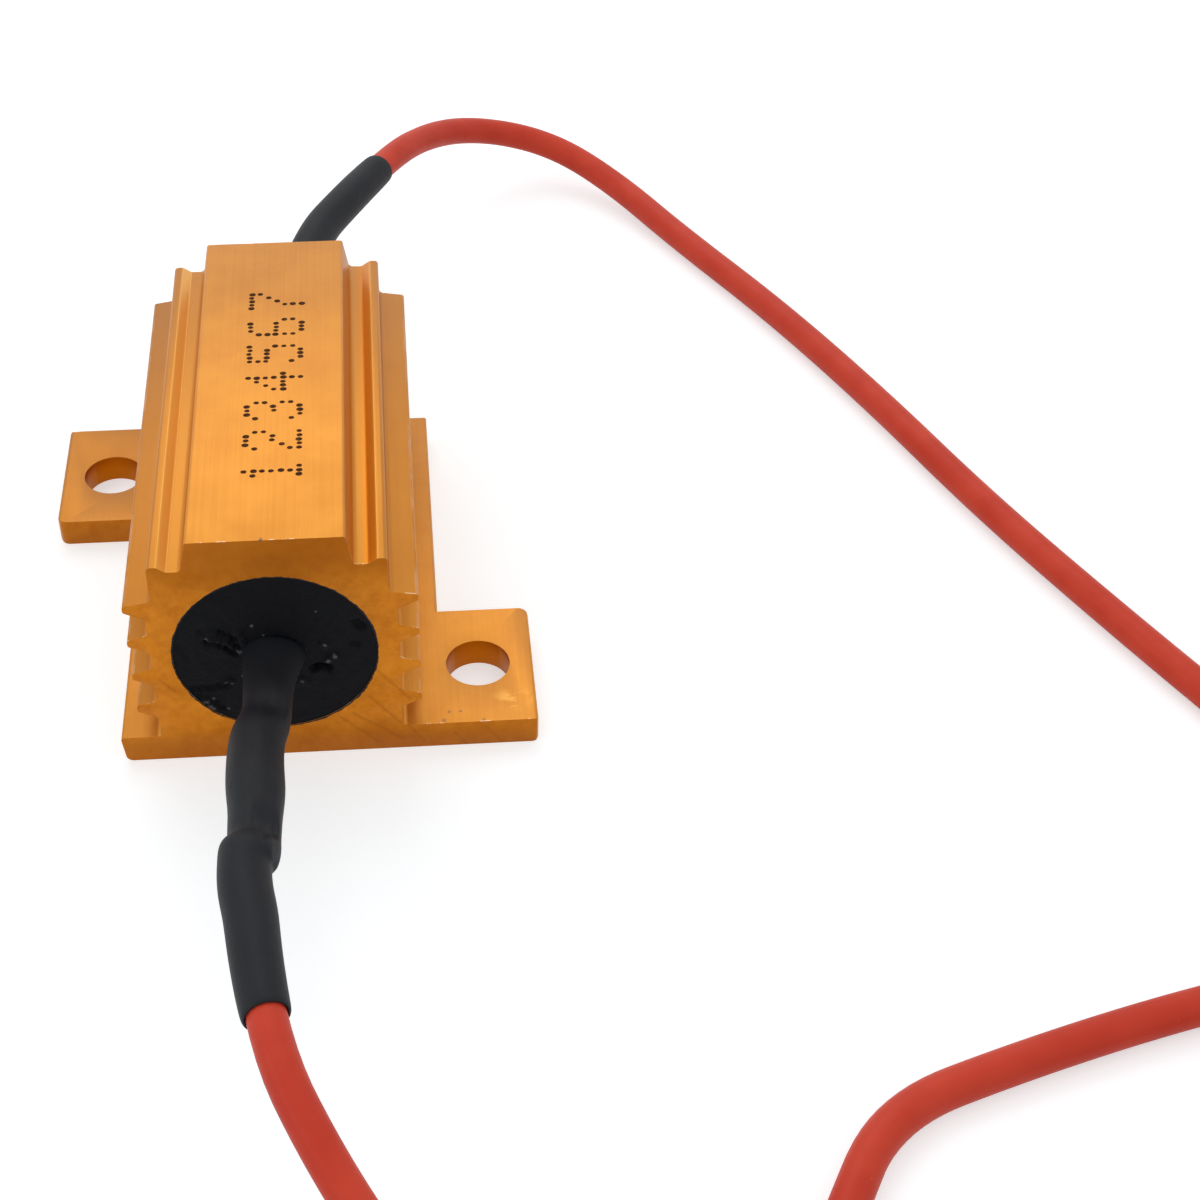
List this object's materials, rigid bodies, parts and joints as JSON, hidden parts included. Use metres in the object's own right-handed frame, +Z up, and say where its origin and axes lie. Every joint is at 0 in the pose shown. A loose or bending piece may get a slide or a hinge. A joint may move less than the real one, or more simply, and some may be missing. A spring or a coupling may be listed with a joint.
{
  "type": "aluminium-clad wirewound power resistor",
  "caption": "Power resistor in a finned gold aluminium housing with diagonal mounting ears and two sleeved red wire leads.",
  "frame": {"origin": "centre of the housing's underside, on the mounting surface", "axes": "+Y along the bore and the extrusion, +X across the fins towards the near ear, +Z up from the mounting surface"},
  "size_m": [0.0942, 0.1047, 0.0155],
  "materials": {
    "gold_aluminium": "satin gold anodised, extrusion lines, sawn ends",
    "potting": "matt black moulding compound, slightly uneven",
    "ceramic": "unglazed white ceramic",
    "resistance_alloy": "drawn resistance wire",
    "cap_steel": "pressed stainless cap",
    "tinned_terminal": "tinned, dull",
    "solder": "smooth solder",
    "tinned_strands": "tinned copper strands, twisted",
    "shrink_sleeve": "black shrunk tube, soft satin",
    "lead_insulation": "smooth red wire insulation, slight gloss"
  },
  "bodies": {
    "root": {"housing": "gold_aluminium", "potting_fill": "potting", "ceramic_core": "ceramic", "resistance_wire": "resistance_alloy", "end_cap_near": "cap_steel", "end_cap_far": "cap_steel", "terminal_near": "tinned_terminal", "terminal_far": "tinned_terminal", "solder_joint_near": "solder", "solder_joint_far": "solder", "conductor_near": "tinned_strands", "conductor_far": "tinned_strands", "sleeve_near": "shrink_sleeve", "sleeve_far": "shrink_sleeve", "lead_near": "lead_insulation", "lead_far": "lead_insulation", "lead_near_coil": "lead_insulation", "lead_far_coil": "lead_insulation", "lead_near_tip": "tinned_strands", "lead_far_tip": "tinned_strands"}
  },
  "joints": []
}
